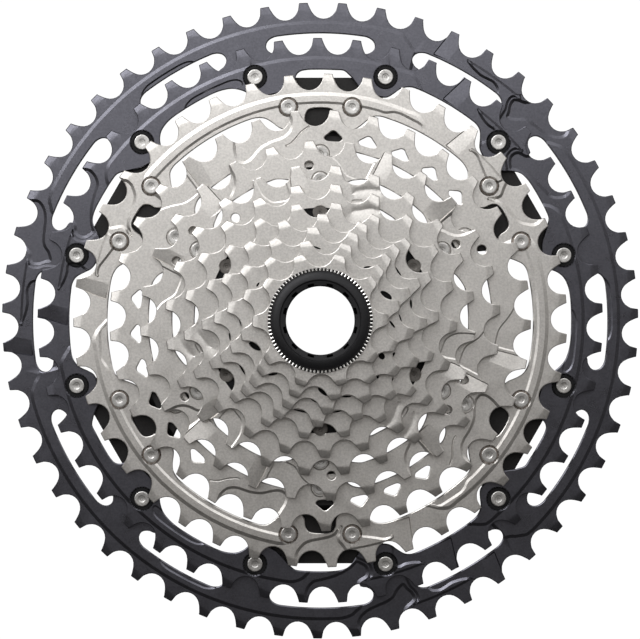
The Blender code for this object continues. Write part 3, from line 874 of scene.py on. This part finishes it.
def shadow_pocket_loops(teeth):
    """The outlines of a loose sprocket's painted shadow pockets, as ellipses."""
    wave = circle(0.5, 16)
    loops = []
    for clock, out, length, width, slant in SHADOW_POCKETS.get(teeth, ()):
        along = at(1.0, clock + 90.0 + slant) * length
        across = at(1.0, clock + slant) * width
        loop = at(out, clock) + np.outer(wave[:, 0], along) + np.outer(wave[:, 1], across)
        loops.append(counterclockwise(loop))
    return loops


# How far down each small sprocket's tip bevels start, at a tooth's left and right side.
SMALL_BEVELS = {18: (1.9, 1.9), 16: (1.9, 2.4), 14: (1.8, 2.6), 12: (1.7, 1.8), 10: (1.6, 1.9)}


def relief_small(teeth):
    """The tip bevels and painted shadow pockets of a loose sprocket."""
    pockets = [Relief(loop, -POCKET_DEPTH, 0.15, smooth=False) for loop in shadow_pocket_loops(teeth)]
    return [TipBevels(teeth, *SMALL_BEVELS[teeth], 0.19), *pockets]


INNER_EDGES = {
    51: lobes_51,
    45: lobes_45,
    39: lobes_39,
    33: lambda: padded_edge(33),
    28: lambda: padded_edge(28),
    24: bayed_edge,
    21: lambda: circle(32.0, 120),
}
RELIEFS = {
    51: relief_51, 45: relief_45, 39: relief_39, 33: relief_33, 28: relief_28, 24: relief_24, 21: relief_21,
}
# The material number and the radius of the painted shade round each rivet, in its sunk seat.
SEAT_SHADE_MARKS = {45: (1, 3.75), 39: (2, 3.0)}
BOSS_RADIUS = {14: 19.0, 12: 18.2, 10: 16.4}


def sprocket(teeth):
    """One toothed ring of the cassette, with the relief that helps the chain to shift."""
    low = TEETH.index(teeth) * STEP
    high = low + PLATE - TOOTH_LOW.get(teeth, 0.0)
    under, marks = [], []
    if teeth in INNER_EDGES:
        centres = rivet_centres(RIVET_GROUP[teeth])
        holes = [INNER_EDGES[teeth](), *(circle(RIVET_HOLE, 28, centre) for centre in centres)]
        holes += small_holes(teeth)
        reliefs = RELIEFS[teeth]()
        if teeth in SEAT_SHADE_MARKS:
            number, reach = SEAT_SHADE_MARKS[teeth]
            # The face round each rivet takes painted shade.
            marks = [(number, circle(reach, 32, centre)) for centre in centres]
        if teeth == 21:
            # The slots' floors are painted near-black, partly for the black spider arm seen through the real
            # windows and partly as painted shade.
            marks = [(1, slot) for slot in slots_21()]
            # Bosses on its back reach down to the 24-tooth ring, which shares its rivets.
            under = [cone(3.7, 3.4, -1.5, centre) for centre in centres]
    else:
        holes = [spline_bore()]
        reliefs = relief_small(teeth)
        # The pockets' floors take painted shadow black.
        marks = [(1, loop) for loop in shadow_pocket_loops(teeth)]
        if teeth in BOSS_RADIUS:
            boss = BOSS_RADIUS[teeth]
            foot = min(boss + 0.3, pitch_radius(teeth) - ROOT_DROP - 0.15)
            under = [cone(foot, boss, -1.55, sides=96)]
    data = plate(f"sprocket_{teeth}t_shape", tooth_loop(teeth), holes, low, high, reliefs, under, marks)
    # Beside the plate's own metal, its marks take the painted shade materials, near-black and brown.
    material = (anodised if teeth > 39 else steel, painted_shade_black, painted_shade_brown)
    show(f"chain_sprocket_{teeth}", data, material, replaces=(f"sprocket_{teeth}t",))


for count in TEETH:
    sprocket(count)


# --- Spiders and spacers ------------------------------------------------------------------------


class ByRadius:
    """Heights that follow (radius, height) corners, with the bends as circles in the plan."""

    def __init__(self, section, base):
        self.radii = [radius for radius, _ in section]
        self.heights = [height - base for _, height in section]
        self.lines = [(circle(radius, 180), True) for radius in self.radii[:-1]]

    def over(self, points):
        return np.interp(np.linalg.norm(points, axis=1), self.radii, self.heights)


EYE_RADIUS = 4.3


def arm_loop(arm, between):
    """Six copies of an arm's outline, joined round the hub."""
    pairs = []
    for sixth in range(6):
        pairs.append(from_tooth_frame(arm, 60 * sixth))
        pairs.append(spots([(clock + 60 * sixth, radius) for clock, radius in between]))
    return np.concatenate(pairs)


def beam_arm():
    """An arm at twelve o'clock, which widens to a head with an eye for each outer rivet."""
    side = [
        (6.4, 20.0), (5.4, 25.0), (5.0, 30.0), (5.0, 50.0), (5.8, 55.0), (7.5, 58.6), (9.6, 61.5),
        (13.4, 66.4),
    ]
    centre = at(82.5, 15.0)
    right = side + [tuple(centre + at(EYE_RADIUS, turn)) for turn in range(135, -91, -15)]
    return [(-x, y) for x, y in right] + right[::-1]


def inner_arm():
    """A shorter arm, with one eye at its end."""
    centre = np.array([0.0, 45.25])
    side = [(6.4, 20.0), (5.2, 23.5), (4.6, 27.0), (4.6, 38.6)]
    right = side + [tuple(centre + at(EYE_RADIUS, turn)) for turn in range(90, 0, -15)]
    return [(-x, y) for x, y in right] + [(0.0, 49.55)] + right[::-1]


def spider(name, node, arm, between, under, over, groups):
    base_low, base_high = under[0][1], over[0][1]
    holes = [spline_bore()]
    for group in groups:
        holes += [circle(RIVET_HOLE, 20, centre) for centre in rivet_centres(group)]
    data = plate(
        name + "_shape", arm_loop(arm, between), holes, base_low, base_high,
        [ByRadius(over, base_high)], [ByRadius(under, base_low)], edge=0.3, drop=0.22,
    )
    show(name, data, black, replaces=(node,), sharp=25)


spider(
    "outer_spider", "beam_spider", beam_arm(), sweep(21.0, 21, 39, 3),
    (
        (19.5, 6.0), (21.0, 6.4), (45.0, 6.4), (60.0, 4.6), (62.5, 4.3), (73.2, 2.6), (75.2, 2.1),
        (90.0, 2.1),
    ),
    (
        (19.5, 13.65), (21.0, 10.65), (45.0, 10.65), (60.0, 10.65), (62.5, 7.0), (73.2, 7.0),
        (75.2, 3.35), (90.0, 3.35),
    ),
    ("45t", "39t", "33t"),
)
spider(
    "small_spider", "inner_spider", inner_arm(), sweep(21.0, 21, 39, 3),
    ((19.5, 13.95), (21.0, 13.05), (52.0, 13.05)),
    ((19.5, 23.4), (21.0, 17.95), (38.6, 17.95), (40.4, 14.3), (52.0, 14.3)),
    ("28t", "21t"),
)
for spaced in (18, 16):
    top = TEETH.index(spaced) * STEP - 0.3
    ring = plate(f"spacer_{spaced}_shape", circle(18.6, 96), [circle(15.5, 96)], top - 1.25, top)
    show(f"spacing_ring_{spaced}", ring, black, replaces=(f"spacer_{spaced}t",))


# --- Repeated shapes, made by Geometry Nodes ----------------------------------------------------


def node_tree(name, sockets):
    """A geometry tree, the outputs that hold its named inputs, and its result node."""
    tree = bpy.data.node_groups.new(name, "GeometryNodeTree")
    tree.interface.new_socket("Geometry", in_out="INPUT", socket_type="NodeSocketGeometry")
    for label, kind, default in sockets:
        socket = tree.interface.new_socket(label, in_out="INPUT", socket_type=kind)
        if default is not None:
            socket.default_value = default
    tree.interface.new_socket("Geometry", in_out="OUTPUT", socket_type="NodeSocketGeometry")
    return tree, tree.nodes.new("NodeGroupInput").outputs, tree.nodes.new("NodeGroupOutput")


def finish_tree(tree, result, geometry, material):
    """Ends a tree: what it made becomes real and takes a material."""
    real = wired(tree, "GeometryNodeRealizeInstances", {"Geometry": geometry})
    painted = wired(tree, "GeometryNodeSetMaterial", {"Geometry": real, "Material": material})
    fill(tree, result, {"Geometry": painted})


def plain_mesh(name, tree, values):
    """Runs a geometry tree once, and returns what it made as a plain mesh."""
    holder = add_object(name, bpy.data.meshes.new(name))
    modifier = holder.modifiers.new("shape", "NODES")
    modifier.node_group = tree
    for item in tree.interface.items_tree:
        if item.in_out == "INPUT" and item.name in values:
            modifier[item.identifier] = values[item.name]
    graph = bpy.context.evaluated_depsgraph_get()
    made = bpy.data.meshes.new_from_object(holder.evaluated_get(graph))
    holder.modifiers.clear()
    bpy.data.objects.remove(holder)
    made.name = name + "_shape"
    return made


def finished(build, name):
    """The mesh that a bmesh holds. The bmesh is freed."""
    data = bpy.data.meshes.new(name)
    build.to_mesh(data)
    build.free()
    return data


def turned_profile(name, profile, sides):
    """A closed solid of revolution about Z from (radius, height) points, from the top middle down."""
    build = bmesh.new()
    rings = []
    for radius, height in profile:
        ring = circle(radius, sides) if radius else [(0, 0)]
        rings.append([build.verts.new((x * MM, y * MM, height * MM)) for x, y in ring])
    for upper, lower in zip(rings, rings[1:]):
        for side in range(sides):
            after = (side + 1) % sides
            corners = [upper[side % len(upper)], upper[after % len(upper)]]
            corners += [lower[after % len(lower)], lower[side % len(lower)]]
            build.faces.new(list(dict.fromkeys(corners)))
    bmesh.ops.recalc_face_normals(build, faces=build.faces)
    return finished(build, name)


def copies_round_tree(material):
    """Copies of a shape on a circle: count, radius, height, first clock angle and stride."""
    tree, given, result = node_tree(
        "copies_round_the_axis",
        (
            ("Shape", "NodeSocketObject", None),
            ("Count", "NodeSocketInt", 6),
            ("Radius", "NodeSocketFloat", 0.05),
            ("Height", "NodeSocketFloat", 0.0),
            ("First", "NodeSocketFloat", 0.0),
            ("Stride", "NodeSocketFloat", 1.0),
        ),
    )
    number = wired(tree, "GeometryNodeInputIndex")
    turn = sums(tree, "MULTIPLY_ADD", number, given["Stride"], given["First"])
    angle = sums(tree, "RADIANS", turn)
    x, y = (sums(tree, "MULTIPLY", sums(tree, wave, angle), given["Radius"]) for wave in ("SINE", "COSINE"))
    place = wired(tree, "ShaderNodeCombineXYZ", {"X": x, "Y": y, "Z": given["Height"]})
    facing = wired(tree, "ShaderNodeCombineXYZ", {"Z": sums(tree, "MULTIPLY", angle, -1.0)})
    copies = wired(tree, "GeometryNodeInstanceOnPoints", {
        "Points": wired(tree, "GeometryNodePoints", {"Count": given["Count"], "Position": place}),
        "Instance": wired(tree, "GeometryNodeObjectInfo", {"Object": given["Shape"]}, "Geometry"),
        "Rotation": facing,
    })
    finish_tree(tree, result, copies, material)
    return tree


def rivet_profile(foot, head):
    """A rivet: a dimpled head with a raised rim, and its shank. Heights from the head's top."""
    top = (
        (0.0, 0.35), (0.3, 0.33), (0.45, 0.14), (0.95, 0.10), (1.15, 0.02), (1.35, 0.0), (2.25, 0.0),
        (2.42, 0.06), (2.5, 0.18), (2.5, 0.5), (1.8, 0.5),
    )
    profile = [(radius, head - down) for radius, down in top]
    return profile + [(1.8, foot + 0.15), (1.65, foot), (0.0, foot)]


rivet_tree = copies_round_tree(rivet_steel)
RIVET_FEET = {"45t": 0.3, "39t": 3.4, "33t": 5.5, "28t": 13.3, "21t": 13.3}
RIVET_TOPS = {"45t": 5.5, "39t": 9.15, "33t": 12.72, "28t": 16.36, "21t": 23.1}
# The first clock angle, the stride and the count of each run of rivets. The other groups have one to an arm.
RIVET_RUNS = {"45t": ((15.0, 30.0, 12),), "39t": ((-8.5, 60.0, 6), (8.5, 60.0, 6))}
for group, (radius, _) in RIVETS.items():
    profile = rivet_profile(RIVET_FEET[group], RIVET_TOPS[group])
    base = add_object("one_rivet", turned_profile("one_rivet", profile, 28))
    made = bmesh.new()
    for first, stride, number in RIVET_RUNS.get(group, ((0.0, 60.0, 6),)):
        made.from_mesh(plain_mesh("rivet_run", rivet_tree, {
            "Shape": base, "Count": number, "Radius": radius * MM, "First": first, "Stride": stride,
        }))
    data = finished(made, f"rivets_{group}_shape")
    bpy.data.objects.remove(base)
    nodes = sorted(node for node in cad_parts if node.startswith(f"rivet_{group}_"))
    # The 21-tooth rivets sit in its slots and take the darker steel as painted shade.
    material = painted_shade_rivet if group == "21t" else rivet_steel
    show(f"rivets_{group}", data, material, replaces=nodes, sharp=12)


# --- Lockring and washer ------------------------------------------------------------------------

WASHER_LOW = 42.25
WASHER_THICK = 0.75
WASHER_RADIUS = 16.3
WASHER_BORE = 12.9
WASHER_RIBS = 85
RIB_FOOT = 15.5
RIB_ORIGIN = 15.0
THREAD_RADIUS = 12.5
THREAD_PITCH = 1.0
THREAD_TURNS = 6.5
THREAD_LOW = 34.4
THREAD_THICK = 0.36
SLEEVE_LOW = 33.5
HEAD_LOW = 43.3
HEAD_FACE = 44.5
HEAD_RADIUS = 15.3
HEAD_BORE = 10.75
NOTCH_DEPTH = 5.0


def washer():
    """The serrated washer: a plain ring, and radial ribs that Geometry Nodes set round its rim."""
    low, high = WASHER_LOW + 0.12, WASHER_LOW + WASHER_THICK
    bore = circle(WASHER_BORE, 96)
    ring = plate("washer_ring", circle(WASHER_RADIUS, 168), [bore], WASHER_LOW, high - 0.12)
    rib = bmesh.new()
    section = ((-0.3, low), (0.3, low), (0.3, high - 0.09), (0.1, high), (-0.1, high), (-0.3, high - 0.09))
    ends = [
        [rib.verts.new((x * MM, (out - RIB_ORIGIN) * MM, z * MM)) for x, z in section]
        for out in (RIB_FOOT, WASHER_RADIUS)
    ]
    rib.faces.new(ends[0])
    rib.faces.new(ends[1][::-1])
    for place in range(6):
        after = (place + 1) % 6
        rib.faces.new((ends[0][place], ends[0][after], ends[1][after], ends[1][place]))
    bmesh.ops.recalc_face_normals(rib, faces=rib.faces)
    base = add_object("one_rib", finished(rib, "one_rib"))
    ribs = plain_mesh("ribs", copies_round_tree(washer_steel), {
        "Shape": base, "Count": WASHER_RIBS, "Radius": RIB_ORIGIN * MM, "Stride": 360 / WASHER_RIBS,
    })
    bpy.data.objects.remove(base)
    whole = bmesh.new()
    # The ring under and between the ribs takes painted shade black; the ribs keep the washer's steel.
    for part, number in ((ring, 1), (ribs, 0)):
        for face in part.polygons:
            face.material_index = number
        whole.from_mesh(part)
    show(
        "serrated_washer", finished(whole, "washer_shape"), (washer_steel, painted_shade_black),
        "lockring_washer", ("lockring_washer",), sharp=20,
    )


def thread():
    """A screw thread's crest: a spiral with a four-sided section, made by Geometry Nodes."""
    sizes = {
        "Radius": THREAD_RADIUS * MM, "Pitch": THREAD_PITCH * MM, "Turns": THREAD_TURNS,
        "Thickness": THREAD_THICK * MM,
    }
    sockets = [(label, "NodeSocketFloat", size) for label, size in sizes.items()]
    tree, given, result = node_tree("thread", sockets)
    spiral = wired(tree, "GeometryNodeCurveSpiral", {
        "Resolution": 72, "Rotations": given["Turns"], "Start Radius": given["Radius"],
        "End Radius": given["Radius"], "Height": sums(tree, "MULTIPLY", given["Pitch"], given["Turns"]),
    })
    section = {"Resolution": 4, "Radius": given["Thickness"]}
    swept = wired(tree, "GeometryNodeCurveToMesh", {
        "Curve": spiral, "Profile Curve": wired(tree, "GeometryNodeCurvePrimitiveCircle", section),
        "Fill Caps": True,
    })
    finish_tree(tree, result, swept, lockring_black)
    return plain_mesh("thread", tree, sizes)


def lockring():
    """The lockring: a coned head, a threaded sleeve, and a bore with blind notches for its tool."""
    half = [(5.6, 10.9), (5.2, 11.5), (4.6, 11.75)]
    notch = [(-clock, radius) for clock, radius in half] + half[::-1] + [(3.0, 10.9), (-3.0, 10.9)]
    notches = [spots([(15 + 30 * place + clock, radius) for clock, radius in notch]) for place in range(12)]
    under = ByRadius(((THREAD_RADIUS, SLEEVE_LOW), (12.7, HEAD_LOW), (16.0, HEAD_LOW)), SLEEVE_LOW)
    section = (
        (10.9, 44.3), (12.3, 44.45), (12.7, 44.8), (13.1, 44.8), (14.9, 44.35), (15.1, 44.2), (15.4, 43.9)
    )
    reliefs = [ByRadius(section, HEAD_FACE)]
    reliefs += [Relief(notch, -NOTCH_DEPTH, 0.1, smooth=False) for notch in notches]
    # The notches' floors take painted shade, darker than the lockring's own black.
    marks = [(1, notch) for notch in notches]
    rim, bore = circle(HEAD_RADIUS, 144), circle(HEAD_BORE, 96)
    data = plate("lockring_shape", rim, [bore], SLEEVE_LOW, HEAD_FACE, reliefs, [under], marks)
    whole = bmesh.new()
    whole.from_mesh(thread())
    for face in whole.faces:
        face.material_index = 0
    bmesh.ops.translate(whole, verts=whole.verts, vec=(0.0, 0.0, THREAD_LOW * MM))
    bmesh.ops.recalc_face_normals(whole, faces=whole.faces)
    whole.from_mesh(data)
    show(
        "turned_lockring", finished(whole, "turned_lockring_shape"), (lockring_black, painted_shade_black),
        "lockring", ("lockring",), sharp=25,
    )


washer()
lockring()


# --- Floor, light and camera --------------------------------------------------------------------


def floor():
    """A pale floor, which the camera sees as even white."""
    data = bpy.data.meshes.new("floor")
    half = 3.0
    corners = [(-half, -half, 0), (half, -half, 0), (half, half, 0), (-half, half, 0)]
    data.from_pydata(corners, [], [(0, 1, 2, 3)])
    ground = add_object("floor", data)
    ground.location.z = -0.0006
    material, tree, shader = new_material("pale_floor")
    fill(tree, shader, {"Base Color": (0.8, 0.8, 0.8, 1.0), "Roughness": 0.9})
    white = wired(tree, "ShaderNodeEmission", {"Strength": 1.05})
    seen = wired(tree, "ShaderNodeLightPath", give="Is Camera Ray")
    mix = wired(tree, "ShaderNodeMixShader", {"Fac": seen, 1: shader.outputs["BSDF"], 2: white})
    fill(tree, next(node for node in tree.nodes if node.type == "OUTPUT_MATERIAL"), {"Surface": mix})
    data.materials.append(material)


def soft_light(name, place, size, power, aim=(0.0, 0.0, 0.0), turn=0.0):
    lamp = bpy.data.lights.new(name, "AREA")
    lamp.shape = "RECTANGLE"
    lamp.size, lamp.size_y = size
    lamp.energy = power
    thing = add_object(name, lamp)
    thing.location = place
    facing = (Vector(aim) - Vector(place)).to_track_quat("-Z", "Y")
    thing.rotation_euler = (facing @ Quaternion((0, 0, 1), turn)).to_euler()


def studio():
    """The world's light and two soft lamps."""
    world = bpy.data.worlds.new("studio")
    bpy.context.scene.world = world
    world.use_nodes = True
    tree = world.node_tree
    # The studio is dimmer on the near side, so faces that lean that way fall darker.
    facing = {"Vector": wired(tree, "ShaderNodeTexCoord", give="Generated")}
    fade = wired(tree, "ShaderNodeMapRange", {
        "Value": wired(tree, "ShaderNodeSeparateXYZ", facing, "Y"),
        "From Min": -0.5, "From Max": -0.1, "To Min": 0.07, "To Max": 0.225,
    }, "Result")
    fill(tree, tree.nodes["Background"], {"Color": (1.0, 0.965, 0.925, 1.0), "Strength": fade})
    soft_light("high_soft_box", (-0.12, 0.86, 1.0), (2.0, 1.5), 12.5, aim=(-0.12, 0.86, 0.0), turn=0.2)
    soft_light("side_strip", (-0.60, 0.80, 1.02), (0.9, 0.4), 4.8)


def camera():
    data = bpy.data.cameras.new("camera")
    data.lens = 123.2
    data.sensor_width = 36.0
    thing = add_object("camera", data)
    thing.location = (-0.00008, 0.00033, 0.7218)
    bpy.context.scene.camera = thing


floor()
studio()
camera()
bpy.context.scene.view_settings.view_transform = "Standard"

bpy.context.view_layer.update()
